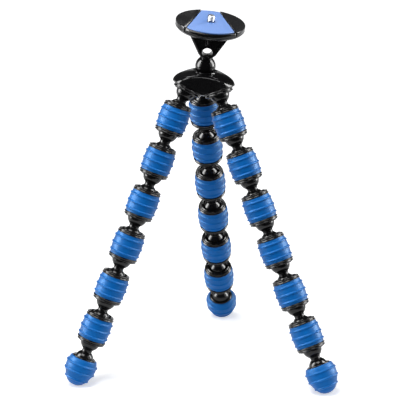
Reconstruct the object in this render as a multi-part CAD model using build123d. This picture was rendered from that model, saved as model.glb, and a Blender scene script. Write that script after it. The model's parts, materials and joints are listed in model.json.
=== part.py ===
"""Flexible ball-chain camera tripod with a round quick-release head. Millimetres, +Z up.

The feet stand on z = 0. The head faces the front, which is -Y. Each leg is a chain of ball joints:
every piece above a joint ends in a ball, and the piece below holds it in a socket.
"""

import os
from math import acos, asin, atan2, cos, degrees, hypot, radians, sin, sqrt, tan

from build123d import *

# Ball joints of the legs
BALL_R = 8.6
RUNNING_GAP = 0.05  # radial play between a ball and its socket
LIP_RISE = 2.2  # the socket's lip stands this far past the ball's middle and holds it in
BALL_DEPTH = 4.0  # ball centre below the rim of the piece that holds it
NECK_R = 4.5
BOWL_R = 8.6
NECK_TO_BALL_FILLET = 0.8
NECK_TO_BOWL_FILLET = 2.0
SHANK = 17.0  # bowl centre to ball centre
BEND_LIMIT = 35.0  # degrees each way, before the neck meets the lip

# Segment core
BODY_LENGTH = 26.3  # rim to flange
RIM_R = 12.0
RIM_HEIGHT = 2.4
RIM_ROUND = 0.8
MOUTH_R = 11.1  # where the mouth's bevel meets the rim
THROAT_R = 9.3  # where the bevel ends, round the ball
CORE_R = 10.8  # under the sleeve
FLANGE_R = 12.4
FLANGE_HEIGHT = 2.6
FLANGE_ROUND = 0.8
FLANGE_RECESS = 0.9  # bevel round the bowl, seen from below

# Rubber sleeves
SLEEVE_FIT = 0.05
SLEEVE_TOP_R = 11.9
SLEEVE_MIDDLE_R = 13.15
SLEEVE_BOTTOM_R = 12.1
RIB_COUNT = 3
RIB_PITCH = 6.7
FIRST_RIB = 4.3  # from the sleeve's top
RIB_PROUD = 0.95
RIB_ABOVE = 1.3  # the rib's long upper flank
RIB_BELOW = 0.75  # its short lower flank
RIB_EDGE = 0.45

# Feet
FOOT_TOP = 1.3  # cap's edge above the ball centre
FOOT_SHOULDER_R = 10.3
FOOT_CORE_LENGTH = 15.0
FOOT_CORE_END_R = 6.4
CAP_EDGE_R = 11.7
CAP_BELLY_R = 13.6
CAP_BELLY_DROP = 6.0
TIP_DROP = 13.2  # centre of the round tip below the ball centre
TIP_R = 11.1
CAP_RIB_DROPS = (3.9, 10.8, 18.2)

# Legs
SEGMENTS = 6
LEG_NAMES = ("left", "right", "back")
FIRST_LEG_AZIMUTH = 210.0  # round the hub, with the others at equal steps
LEG_SWING_ANGLE = {"left": 2.3, "right": 3.3, "back": -9.2}  # how far each leg was turned
LEG_SWEEP_ANGLE = {"left": -1.1, "right": -1.3, "back": 0.85}  # and how it bends sideways at each ball
LEG_CURL_ANGLE = {"left": 0.1, "right": 0.8, "back": 2.35}  # more lean at each ball, outwards

# Hub
HUB_HEIGHT = 238.8  # of the leg balls above the floor
HUB_YAW = -3.6
HUB_LEAN = 4.5  # towards the right leg
STUD_SPLAY = 27.0
STUD_SPREAD = 24.5  # leg ball centres from the hub's axis
STUD_SPIGOT_R = 4.0
STUD_SPIGOT_LENGTH = 5.0
HUB_CROWN_R = 138.0
HUB_SHOULDER_START = 21.0
HUB_SHOULDER_R = 14.0
HUB_LOBE_R = 30.0
HUB_LOBE_ROUND = 12.0
HUB_WAIST_TOP_DROP = 3.4  # a flank's slope, through two points below the crown
HUB_WAIST_TOP_R = 14.0
HUB_WAIST_LOW_DROP = 18.4
HUB_WAIST_LOW_R = 20.5
HUB_FLANK_R = 60.0
RECESS_BEVEL_R = 11.0  # bevel round the head ball's recess
RECESS_RIM_R = 10.1
RECESS_BEVEL = 1.3
CAVITY_GAP = 0.4  # round the cup when the head leans as far as it goes
BASE_PLATE_INRADIUS = 8.6
BASE_PLATE_CORNER_R = 15.8
BASE_PLATE_THICKNESS = 2.2
BASE_PLATE_STUD_GAP = 0.6
BASE_SCREW_PCR = 10.9
BASE_SCREW_LENGTH = 7.0
PLATE_FIT = 0.1

# Head ball, its seat and what pulls it down, on heights from the ball's centre
HEAD_BALL_RISE = 4.1  # ball centre above the hub's crown
HEAD_BALL_R = 8.95
HEAD_LEAN = 6.2  # from the vertical, towards the right
HEAD_NOD = 8.3  # towards the front
HEAD_TILT_LIMIT = 10.0  # from the hub's axis
SEAT_R = 8.8
SEAT_TOP = -6.3
SEAT_BOTTOM = -9.6
SEAT_CHAMFER = 0.6
TENSION_SCREW_R = 2.0
TENSION_SWING_GAP = 0.35
WEB_R = 13.2
CUP_R = 5.2
CUP_THICKNESS = 1.5
DISC_SPRING_R = 4.4
DISC_SPRING_HEIGHT = 1.3
DISC_SPRING_THICKNESS = 0.6
TENSION_HEAD_R = 3.4
TENSION_HEAD_HEIGHT = 2.2
TENSION_FLOOR_GAP = 2.7  # under the screw's head
TENSION_THREAD_DEPTH = 6.0
HEX_SOCKET = 2.5

# Stem
STEM_TOP = 34.3  # underside of the plate base above the ball's centre
STEM_FOOT_WIDTH = 9.0
STEM_TOP_WIDTH = 39.5
STEM_THICKNESS = 12.0
STEM_NECK_R = 4.4
STEM_NECK_HEIGHT = 7.2
STEM_HOLE_R = 4.6
STEM_HOLE_HEIGHT = 13.9
STEM_BORDER = 2.4
STEM_PANEL_DEPTH = 0.9

# Plate base and quick-release plate
DISC_R = 30.2
DISC_HEIGHT = 6.5
DISC_FLOOR = 2.0
DISC_BAND = 2.4  # height of the lower rim band
DISC_BEVEL = 1.6
DISC_GROOVE = 0.4
WING_ROUND = 0.7
KEY_FRONT_HALF = 20.2  # half width at the front corners
KEY_FRONT_Y = -19.7
KEY_BACK_HALF = 8.4
KEY_BACK_Y = 25.4
PAD_ARC_R = 28.3
PAD_THICKNESS = 1.2
PAD_CORNER = 1.2
PLATE_MARGIN = 0.7  # quick-release plate outside its pad, at the top
PLATE_THICKNESS = 3.6
PLATE_SETBACK = 0.3  # from the disc's rim
PAD_HOLE_GAP = 0.35
DOVETAIL_ANGLE = 15.0
SLIDE_GAP = 0.12
NOTCH_R = 1.7  # where the channel meets the front rim
NOTCH_INSET = 0.4
CAMERA_SCREW_R = 3.175
CAMERA_SCREW_HEIGHT = 5.6  # above the pad
SCREW_HEAD_R = 5.8
SCREW_HEAD_HEIGHT = 1.7
SCREW_HEAD_GAP = 0.1
SCREW_COIN_SLOT = 1.5
SCREW_SLOT_DEPTH = 1.0
SCREW_POCKET_DEPTH = 1.9
SCREW_POCKET_GAP = 0.3
SCREW_SHANK_R = 2.6
SCREW_NECK_RISE = 0.25  # thread's lower end above the pad
SCREW_CHAMFER = 0.7

# Lock blade that slides up through the base's floor into the quick-release plate
LOCK_WIDTH = 2.6
LOCK_DEPTH = 2.8  # in the stem
LOCK_FOOT_WIDTH = 4.8  # the blade's back is wider and keeps it in its groove
LOCK_FOOT_DEPTH = 1.2
LOCK_LENGTH = 11.4  # below the plate base
LOCK_NOSE_DEPTH = 1.8  # front of the blade, which passes up through the base
LOCK_WALL = 0.7  # between the nose's slot and the pocket of the camera screw's head
LOCK_TRAVEL = 1.6
LOCK_GAP = 0.1

# Countersunk screws
FIXING_SPACING = 24.0
FIXING_R = 1.5
FIXING_PLAY = 0.1  # radial, round the screw's shank
FIXING_HEAD_R = 2.8
FIXING_LENGTH = 11.0
CROSS_WIDTH = 0.6  # of a cross recess in a screw's head
CROSS_LENGTH = 2.6
CROSS_DEPTH = 0.5
FIXING_SUNK = 0.05
FIXING_END_GAP = 1.0  # pilot hole past the screw's end
PAST = 1.0  # cutters run this far past the faces they cut
SLIVER = 0.01

ABOVE = (Align.CENTER, Align.CENTER, Align.MIN)
UNDER = (Align.CENTER, Align.CENTER, Align.MAX)

SOCKET_R = BALL_R + RUNNING_GAP
LIP_R = sqrt(SOCKET_R**2 - LIP_RISE**2)
FLANGE_DROP = BODY_LENGTH - BALL_DEPTH  # flange's lower face, which is also the bowl's centre
PITCH = FLANGE_DROP + SHANK
LEG_AZIMUTH = {name: FIRST_LEG_AZIMUTH + i * 360 / len(LEG_NAMES) for i, name in enumerate(LEG_NAMES)}
CUP_BOTTOM = -sqrt((WEB_R + RUNNING_GAP) ** 2 - (TENSION_SCREW_R + RUNNING_GAP) ** 2) - CUP_THICKNESS
TENSION_LOW = CUP_BOTTOM - DISC_SPRING_HEIGHT - TENSION_HEAD_HEIGHT  # from the head ball's centre
SPLAY = radians(STUD_SPLAY)
STUD_REACH = SHANK + FLANGE_HEIGHT + (BASE_PLATE_INRADIUS - STUD_SPREAD) * sin(SPLAY)
HUB_BOTTOM = STUD_REACH / cos(SPLAY) + BASE_PLATE_STUD_GAP  # heights above the leg balls
HEAD_BALL_HEIGHT = HUB_BOTTOM + BASE_PLATE_THICKNESS + TENSION_FLOOR_GAP - TENSION_LOW
HUB_TOP = HEAD_BALL_HEIGHT - HEAD_BALL_RISE
LOCK_BACK_Y = -(SCREW_HEAD_R + SCREW_POCKET_GAP + LOCK_WALL + LOCK_GAP)  # nose's rear face
LOCK_FRONT_Y = LOCK_BACK_Y - LOCK_NOSE_DEPTH


def xz(point):
    return (point[0], 0, point[1])


def polar(radius, angle, height=0.0):
    """Point at an angle in degrees round Z."""
    return (radius * cos(radians(angle)), radius * sin(radians(angle)), height)


def on_sphere(radius, centre_height, angle):
    """Outline point of a sphere on Z, at an angle in degrees up from the horizontal."""
    return (radius * cos(radians(angle)), centre_height + radius * sin(radians(angle)))


class Outline:
    """Outline in the XZ plane, drawn as (radius, height) points and turned about Z."""

    def __init__(self, start):
        self.start = self.at = start
        self.edges = []

    def to(self, *points):
        for point in points:
            self.edges.append(Line(xz(self.at), xz(point)))
            self.at = point
        return self

    def arc(self, through, end):
        self.edges.append(ThreePointArc(xz(self.at), xz(through), xz(end)))
        self.at = end
        return self

    def round_to(self, end, radius, corner):
        """Quarter round that ends at a point, with its sharp corner at another."""
        centre = (self.at[0] + end[0] - corner[0], self.at[1] + end[1] - corner[1])
        toward = (corner[0] - centre[0], corner[1] - centre[1])
        scale = radius / hypot(*toward)
        return self.arc((centre[0] + toward[0] * scale, centre[1] + toward[1] * scale), end)

    def sphere(self, radius, centre_height, end):
        """Arc of a sphere that sits on Z, from the last point to another on it."""
        angles = [degrees(atan2(p[1] - centre_height, p[0])) for p in (self.at, end)]
        return self.arc(on_sphere(radius, centre_height, sum(angles) / 2), end)

    def turned(self):
        if hypot(self.at[0] - self.start[0], self.at[1] - self.start[1]) > 1e-6:
            self.to(self.start)
        return revolve(make_face(self.edges), axis=Axis.Z)


def neck_fillet(sphere_r, fillet):
    """Fillet between a sphere and the neck above it: where it leaves each, and its middle."""
    centre = (NECK_R + fillet, sqrt((sphere_r + fillet) ** 2 - (NECK_R + fillet) ** 2))
    share = sphere_r / (sphere_r + fillet)
    on_ball = (centre[0] * share, centre[1] * share)
    half = (degrees(atan2(-centre[1], -centre[0])) % 360 + 180) / 2
    middle = (centre[0] + fillet * cos(radians(half)), centre[1] + fillet * sin(radians(half)))
    return on_ball, middle, (NECK_R, centre[1])


def ball_end(outline, bowl_z):
    """Carries an outline from a flange's lower face round the bowl, neck and ball to the axis."""
    ball_z = bowl_z - SHANK
    bowl, bowl_middle, bowl_neck = neck_fillet(BOWL_R, NECK_TO_BOWL_FILLET)
    ball, ball_middle, ball_neck = neck_fillet(BALL_R, NECK_TO_BALL_FILLET)
    recess_z = bowl_z + FLANGE_RECESS
    start = (sqrt(BOWL_R**2 - FLANGE_RECESS**2), recess_z)
    outline.to((FLANGE_R - FLANGE_ROUND - FLANGE_RECESS, bowl_z))
    outline.to((start[0] + FLANGE_RECESS, recess_z), start)
    outline.sphere(BOWL_R, bowl_z, (bowl[0], bowl_z - bowl[1]))
    outline.arc((bowl_middle[0], bowl_z - bowl_middle[1]), (bowl_neck[0], bowl_z - bowl_neck[1]))
    outline.to((ball_neck[0], ball_z + ball_neck[1]))
    outline.arc((ball_middle[0], ball_z + ball_middle[1]), (ball[0], ball_z + ball[1]))
    outline.sphere(BALL_R, ball_z, (0, ball_z - BALL_R))
    return outline


def flange(outline, top_z):
    """Carries an outline down a flange's rounded rim to its lower face."""
    low = top_z - FLANGE_HEIGHT
    outline.to((FLANGE_R, top_z), (FLANGE_R, low + FLANGE_ROUND))
    end = (FLANGE_R - FLANGE_ROUND, low)
    return outline.round_to(end, FLANGE_ROUND, (FLANGE_R, low))


def segment_core():
    """Socket, spool body, flange, bowl and ball of one leg segment, from its socket's centre."""
    rim_z = BALL_DEPTH
    path = Outline((LIP_R, LIP_RISE)).to((THROAT_R, LIP_RISE), (MOUTH_R, rim_z))
    path.to((RIM_R - RIM_ROUND, rim_z))
    path.round_to((RIM_R, rim_z - RIM_ROUND), RIM_ROUND, (RIM_R, rim_z))
    path.to((RIM_R, rim_z - RIM_HEIGHT), (CORE_R, rim_z - RIM_HEIGHT))
    path.to((CORE_R, FLANGE_HEIGHT - FLANGE_DROP))
    flange(path, FLANGE_HEIGHT - FLANGE_DROP)
    ball_end(path, -FLANGE_DROP)
    path.to((0, -SOCKET_R))
    path.sphere(SOCKET_R, 0, (LIP_R, LIP_RISE))
    return path.turned()


def leg_stud():
    """Spigot, flange, bowl and ball that the hub holds a leg by, from the bowl's centre."""
    path = Outline((0, FLANGE_HEIGHT + STUD_SPIGOT_LENGTH))
    path.to((STUD_SPIGOT_R, FLANGE_HEIGHT + STUD_SPIGOT_LENGTH), (STUD_SPIGOT_R, FLANGE_HEIGHT))
    flange(path, FLANGE_HEIGHT)
    return ball_end(path, 0).turned()


def rib(body_r, z):
    """Rubber rib: a long upper flank, a narrow edge and a short lower flank."""
    root = body_r - RIB_PROUD
    tip = body_r + RIB_PROUD
    path = Outline((root, z + 2 * RIB_ABOVE)).to((tip, z + RIB_EDGE / 2), (tip, z - RIB_EDGE / 2))
    return path.to((root, z - 2 * RIB_BELOW)).turned()


def sleeve():
    """Barrel-shaped rubber sleeve between the rim and the flange of a segment."""
    top = BALL_DEPTH - RIM_HEIGHT - SLEEVE_FIT
    bottom = FLANGE_HEIGHT - FLANGE_DROP + SLEEVE_FIT
    middle = (top + bottom) / 2
    bore = CORE_R + SLEEVE_FIT
    path = Outline((bore, top)).to((SLEEVE_TOP_R, top))
    path.arc((SLEEVE_MIDDLE_R, middle), (SLEEVE_BOTTOM_R, bottom)).to((bore, bottom))
    solid = path.turned()
    for index in range(RIB_COUNT):
        z = top - FIRST_RIB - index * RIB_PITCH
        sag = ((z - middle) / (top - middle)) ** 2
        end_r = SLEEVE_TOP_R if z > middle else SLEEVE_BOTTOM_R
        solid += rib(SLEEVE_MIDDLE_R - sag * (SLEEVE_MIDDLE_R - end_r), z)
    return solid


def foot_core():
    """Last socket of a leg, with the plug that the foot cap is pushed over."""
    path = Outline((LIP_R, LIP_RISE)).to((FOOT_SHOULDER_R - RIM_ROUND, LIP_RISE))
    corner = (FOOT_SHOULDER_R, LIP_RISE)
    path.round_to((FOOT_SHOULDER_R, LIP_RISE - RIM_ROUND), RIM_ROUND, corner)
    path.to((FOOT_SHOULDER_R, -CAP_BELLY_DROP), (FOOT_CORE_END_R, -FOOT_CORE_LENGTH))
    path.to((0, -FOOT_CORE_LENGTH), (0, -SOCKET_R))
    return path.sphere(SOCKET_R, 0, (LIP_R, LIP_RISE)).turned()


def cap_radius(drop):
    """Outer radius of the egg-shaped cap, less its ribs, at a drop below the ball's centre."""
    belly = -CAP_BELLY_DROP
    top_sag = (CAP_BELLY_R - CAP_EDGE_R) / (FOOT_TOP - belly) ** 2
    if drop < CAP_BELLY_DROP:
        return CAP_BELLY_R - top_sag * (drop - CAP_BELLY_DROP) ** 2
    # an ellipse from the belly to the tip
    share = (drop - CAP_BELLY_DROP) / (TIP_DROP + TIP_R - CAP_BELLY_DROP)
    return CAP_BELLY_R * sqrt(1 - share**2)


def foot_cap():
    """Egg-shaped rubber foot with three ribs and a round tip that stands on the floor."""
    tip_z = -TIP_DROP
    join = 50.0  # degrees below the horizontal where the flank runs into the round tip
    joint = on_sphere(TIP_R, tip_z, -join)
    path = Outline((FOOT_SHOULDER_R + SLEEVE_FIT, FOOT_TOP)).to((CAP_EDGE_R, FOOT_TOP))
    shoulder = (CAP_BELLY_R, -CAP_BELLY_DROP)
    half = (CAP_BELLY_DROP - FOOT_TOP) / 2
    path.arc((cap_radius(half), -half), shoulder)
    low = (CAP_BELLY_DROP - joint[1]) / 2
    path.arc((cap_radius(low), -low), joint)
    path.sphere(TIP_R, tip_z, (0, tip_z - TIP_R)).to((0, -FOOT_CORE_LENGTH - SLEEVE_FIT))
    path.to((FOOT_CORE_END_R + SLEEVE_FIT, -FOOT_CORE_LENGTH - SLEEVE_FIT))
    path.to((FOOT_SHOULDER_R + SLEEVE_FIT, -CAP_BELLY_DROP))
    solid = path.turned()
    for drop in CAP_RIB_DROPS:
        solid += rib(cap_radius(drop), -drop)
    return solid


def leg_leans(name, lean_top):
    return [lean_top + LEG_CURL_ANGLE[name] * index for index in range(SEGMENTS + 1)]


def lean_height(name, lean_top):
    """Height above the floor that a leg holds its first ball at, for its lean at the top."""
    leans = leg_leans(name, lean_top)
    drop = sum(PITCH * cos(radians(lean)) for lean in leans[:-1])
    return drop + TIP_DROP * cos(radians(leans[-1])) + TIP_R


def lean_for_height(name, height):
    """Lean at the top segment that stands the foot on the floor from a given first ball."""
    low, high = 0.0, 60.0
    for _ in range(50):
        middle = (low + high) / 2
        if lean_height(name, middle) > height:
            low = middle
        else:
            high = middle
    return low


def hub_dome():
    """Shallow crown over a rounder shoulder, with the head ball's recess in its middle."""
    leaning = asin(HUB_SHOULDER_START / HUB_CROWN_R)
    crown_z = HUB_TOP - HUB_CROWN_R
    start = (HUB_SHOULDER_START, crown_z + HUB_CROWN_R * cos(leaning))
    centre = (start[0] - HUB_SHOULDER_R * sin(leaning), start[1] - HUB_SHOULDER_R * cos(leaning))
    half = (radians(90) - leaning) / 2
    middle = (centre[0] + HUB_SHOULDER_R * cos(half), centre[1] + HUB_SHOULDER_R * sin(half))
    widest = centre[0] + HUB_SHOULDER_R
    path = Outline((0, HUB_BOTTOM)).to((widest, HUB_BOTTOM), (widest, centre[1]))
    brim_z = crown_z + sqrt(HUB_CROWN_R**2 - RECESS_BEVEL_R**2)
    path.arc(middle, start).sphere(HUB_CROWN_R, crown_z, (RECESS_BEVEL_R, brim_z))
    recess_r = SEAT_R + RUNNING_GAP
    recess_z = HEAD_BALL_HEIGHT + SEAT_BOTTOM - RUNNING_GAP
    ledge_z = HEAD_BALL_HEIGHT + SEAT_TOP
    path.to((RECESS_RIM_R, HUB_TOP - RECESS_BEVEL), (RECESS_RIM_R, ledge_z), (recess_r, ledge_z))
    return path.to((recess_r, recess_z), (0, recess_z)).turned()


def hub_flank(azimuth):
    """Wide slanting cylinder that hollows the side between two lobes."""
    high = Vector(*polar(HUB_WAIST_TOP_R, azimuth, HUB_TOP - HUB_WAIST_TOP_DROP))
    low = Vector(*polar(HUB_WAIST_LOW_R, azimuth, HUB_TOP - HUB_WAIST_LOW_DROP))
    slope = (low - high).normalized()
    tangent = Vector(*polar(1, azimuth + 90))
    outward = tangent.cross(slope)
    if outward.Z < 0:
        outward = outward * -1
    axis = Plane(origin=(high + low) / 2 + outward * HUB_FLANK_R, x_dir=tangent, z_dir=slope)
    return axis.location * Cylinder(HUB_FLANK_R, 4 * HUB_LOBE_R)


def hub_body():
    """Three-lobed body with the ball's recess on top and a seat for each leg stud below."""
    tips = [polar(HUB_LOBE_R - HUB_LOBE_ROUND, azimuth) for azimuth in LEG_AZIMUTH.values()]
    plan = offset(make_face(Polyline(*tips, close=True)), HUB_LOBE_ROUND)
    body = Pos(0, 0, HUB_BOTTOM) * extrude(plan, HUB_TOP) & hub_dome()
    for azimuth in LEG_AZIMUTH.values():
        body -= hub_flank(azimuth + 60)
    for azimuth in LEG_AZIMUTH.values():
        seat = stud_plane(azimuth, FLANGE_HEIGHT + PLATE_FIT)
        body -= seat * Box(4 * HUB_LOBE_R, 4 * HUB_LOBE_R, HUB_TOP, align=UNDER)
        body -= seat * Cylinder(STUD_SPIGOT_R + PLATE_FIT / 2, STUD_SPIGOT_LENGTH + PLATE_FIT, align=ABOVE)
    limit = radians(HEAD_TILT_LIMIT)
    cavity_r = CUP_R * cos(limit) - CUP_BOTTOM * sin(limit) + CAVITY_GAP
    web = Pos(0, 0, HEAD_BALL_HEIGHT) * Sphere(WEB_R)
    body -= Pos(0, 0, HUB_BOTTOM - PLATE_FIT) * Cylinder(cavity_r, HUB_TOP, align=ABOVE) - web
    swing = WEB_R * tan(limit) + TENSION_SCREW_R / cos(limit) + TENSION_SWING_GAP
    body -= Pos(0, 0, HUB_BOTTOM) * Cylinder(swing, HUB_TOP, align=ABOVE)
    body -= base_plate_form(PLATE_FIT)
    for azimuth in LEG_AZIMUTH.values():
        hole = Cylinder(FIXING_R, BASE_SCREW_LENGTH + PAST, align=ABOVE)
        body -= Pos(*polar(BASE_SCREW_PCR, azimuth + 60, HUB_BOTTOM)) * hole
    return body


def base_plate_form(margin):
    """Triangular closing plate with cut corners, grown by a margin all round."""
    inradius = BASE_PLATE_INRADIUS + margin
    corners = [polar(2 * inradius, azimuth + 60) for azimuth in LEG_AZIMUTH.values()]
    face = make_face(Polyline(*corners, close=True)) & Circle(BASE_PLATE_CORNER_R + margin)
    return Pos(0, 0, HUB_BOTTOM) * extrude(face, BASE_PLATE_THICKNESS + margin)


def countersunk(azimuth, margin):
    """Base plate screw with a flat head, grown by a margin on its radii."""
    shank_r = FIXING_R - FIXING_PLAY
    path = Outline((0, 0)).to((FIXING_HEAD_R + margin, 0))
    path.to((shank_r + margin, FIXING_HEAD_R - shank_r), (shank_r + margin, BASE_SCREW_LENGTH))
    path.to((0, BASE_SCREW_LENGTH))
    return Pos(*polar(BASE_SCREW_PCR, azimuth + 60, HUB_BOTTOM)) * path.turned()


def hub_base_plate():
    plate = base_plate_form(0)
    for azimuth in LEG_AZIMUTH.values():
        plate -= countersunk(azimuth, PLATE_FIT)
    return plate


def stud_plane(azimuth, rise=0.0):
    """Frame of a leg stud in the hub: its bowl's centre moved up its axis, which is its Z."""
    up = Vector(*polar(-sin(SPLAY), azimuth, cos(SPLAY)))
    ball = Vector(*polar(STUD_SPREAD, azimuth))
    tangent = Vector(*polar(1, azimuth + 90))
    return Plane(origin=ball + up * (SHANK + rise), x_dir=tangent, z_dir=up).location


def ball_seat():
    """Ring that the head ball rests in, free to turn in the hub's recess."""
    bearing_r = HEAD_BALL_R + RUNNING_GAP
    hole_r = -SEAT_BOTTOM * tan(radians(HEAD_TILT_LIMIT)) + TENSION_SCREW_R + TENSION_SWING_GAP
    inner = (hole_r, -sqrt(bearing_r**2 - hole_r**2))
    outer = (sqrt(bearing_r**2 - SEAT_TOP**2), SEAT_TOP)
    path = Outline(inner).sphere(bearing_r, 0, outer)
    path.to((SEAT_R - SEAT_CHAMFER, SEAT_TOP), (SEAT_R, SEAT_TOP - SEAT_CHAMFER), (SEAT_R, SEAT_BOTTOM))
    return path.to((hole_r, SEAT_BOTTOM)).turned()


def pressure_cup():
    """Dished washer that slides under the hub's web as the head leans."""
    gap = WEB_R + RUNNING_GAP
    bore = TENSION_SCREW_R + RUNNING_GAP
    inner, outer = (bore, -sqrt(gap**2 - bore**2)), (CUP_R, -sqrt(gap**2 - CUP_R**2))
    path = Outline(inner).sphere(gap, 0, outer).to((CUP_R, CUP_BOTTOM))
    return path.to((bore, CUP_BOTTOM)).turned()


def disc_spring():
    """Conical disc spring between the cup and the tension screw's head."""
    bore = TENSION_SCREW_R + 2 * RUNNING_GAP
    low = CUP_BOTTOM - DISC_SPRING_HEIGHT
    path = Outline((DISC_SPRING_R, CUP_BOTTOM)).to((bore, low + DISC_SPRING_THICKNESS), (bore, low))
    return path.to((DISC_SPRING_R, CUP_BOTTOM - DISC_SPRING_THICKNESS)).turned()


def tension_screw():
    """Screw up into the head ball, with a hexagon socket in its head."""
    seat, low = TENSION_LOW + TENSION_HEAD_HEIGHT, TENSION_LOW
    thread_top = TENSION_THREAD_DEPTH - HEAD_BALL_R
    path = Outline((0, thread_top)).to((TENSION_SCREW_R, thread_top), (TENSION_SCREW_R, seat))
    screw = path.to((TENSION_HEAD_R, seat), (TENSION_HEAD_R, low), (0, low)).turned()
    socket = extrude(RegularPolygon(HEX_SOCKET / 2 / cos(radians(30)), 6), TENSION_HEAD_HEIGHT / 2)
    return screw - Pos(0, 0, low) * socket


def head_stem():
    """Triangular fin with a hole, and the ball at its foot."""
    fin = Plane.XZ * make_face(
        Polyline(
            (-STEM_FOOT_WIDTH / 2, 0),
            (STEM_FOOT_WIDTH / 2, 0),
            (STEM_TOP_WIDTH / 2, STEM_TOP - STEM_NECK_HEIGHT),
            (-STEM_TOP_WIDTH / 2, STEM_TOP - STEM_NECK_HEIGHT),
            close=True,
        )
    )
    fin = Pos(0, 0, STEM_NECK_HEIGHT) * fin
    slab = extrude(fin, STEM_THICKNESS / 2, both=True)
    run_out = (STEM_TOP_WIDTH, STEM_NECK_HEIGHT + STEM_TOP_WIDTH - STEM_NECK_R)
    funnel = Outline((0, 0)).to((STEM_NECK_R, 0), (STEM_NECK_R, STEM_NECK_HEIGHT), run_out)
    slab = slab & funnel.to((0, run_out[1])).turned()
    panel = offset(fin, -STEM_BORDER, kind=Kind.INTERSECTION)
    boss_r = STEM_HOLE_R + STEM_BORDER / 2
    bar_length = STEM_THICKNESS + 2 * PAST
    land = LOCK_WIDTH + STEM_BORDER
    along_y = Rot(90, 0, 0)
    hole_place = Pos(0, 0, STEM_HOLE_HEIGHT)
    for side in (-1, 1):
        cut = extrude(Pos(0, side * STEM_THICKNESS / 2, 0) * panel, STEM_PANEL_DEPTH, both=True)
        cut -= hole_place * along_y * Cylinder(boss_r, bar_length * 2)
        cut -= Pos(0, 0, STEM_TOP) * Box(land, bar_length * 2, 2 * (LOCK_LENGTH + STEM_BORDER))
        slab -= cut
    stem = Sphere(HEAD_BALL_R) + Cylinder(STEM_NECK_R, STEM_NECK_HEIGHT + PAST, align=ABOVE) + slab
    stem -= hole_place * along_y * Cylinder(STEM_HOLE_R, bar_length)
    tapped = Cylinder(TENSION_SCREW_R + RUNNING_GAP, TENSION_THREAD_DEPTH + PAST, align=ABOVE)
    stem -= Pos(0, 0, -HEAD_BALL_R - PAST) * tapped
    for side in (-1, 1):
        pilot = Cylinder(FIXING_R, FIXING_LENGTH, align=UNDER)
        stem -= Pos(side * FIXING_SPACING / 2, 0, STEM_TOP) * pilot
    return stem - lock_form(LOCK_GAP, STEM_TOP - LOCK_LENGTH - LOCK_GAP, STEM_TOP)


def lock_form(margin, low, top):
    """Blade with a wider back, let into the front of the stem, grown by a margin."""
    back = LOCK_DEPTH - STEM_THICKNESS / 2 + margin
    foot_front = back - LOCK_FOOT_DEPTH - 2 * margin
    blade = box_between((LOCK_WIDTH / 2 + margin, LOCK_FRONT_Y, low), back, top)
    return blade + box_between((LOCK_FOOT_WIDTH / 2 + margin, foot_front, low), back, top)


def lock_nose(margin, low, top):
    """Front of the blade, which passes up ahead of the camera screw's head."""
    near = (LOCK_WIDTH / 2 + margin, LOCK_FRONT_Y - margin, low)
    return box_between(near, LOCK_BACK_Y + margin, top)


def box_between(near, back, top):
    """Box centred on X, from its near lower corner to its back and top."""
    half, front, low = near
    return Pos(0, (front + back) / 2, (low + top) / 2) * Box(2 * half, back - front, top - low)


def plate_lock():
    """Blade that is pushed up to lock the quick-release plate; drawn down, unlocked."""
    low = STEM_TOP - LOCK_LENGTH
    blade = lock_form(0, low, STEM_TOP - LOCK_TRAVEL - LOCK_GAP)
    return blade + lock_nose(0, low, STEM_TOP + DISC_FLOOR - LOCK_GAP)


def key_half_width(y):
    """Half width of the fan-shaped key at a distance back from the centre."""
    share = (y - KEY_FRONT_Y) / (KEY_BACK_Y - KEY_FRONT_Y)
    return KEY_FRONT_HALF + share * (KEY_BACK_HALF - KEY_FRONT_HALF)


def key_fan(margin):
    """Fan-shaped outline, grown sideways by a margin, which runs out past the disc."""
    reach = DISC_R * 1.3
    wide, narrow = key_half_width(-reach) + margin, key_half_width(reach) + margin
    corners = (-wide, -reach), (wide, -reach), (narrow, reach), (-narrow, reach)
    return make_face(Polyline(*corners, close=True))


def key_prism(margin, arc_r, low, high):
    """Dovetailed fan: its sides lean in by the dovetail's angle, up to the given margin on top."""
    spread = (high - low) * tan(radians(DOVETAIL_ANGLE))
    bottom = Pos(0, 0, low) * key_fan(margin + spread)
    top = Pos(0, 0, high) * key_fan(margin)
    reach = Pos(0, 0, low) * Cylinder(arc_r, high - low, align=ABOVE)
    return loft([bottom, top], ruled=True) & reach


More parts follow.
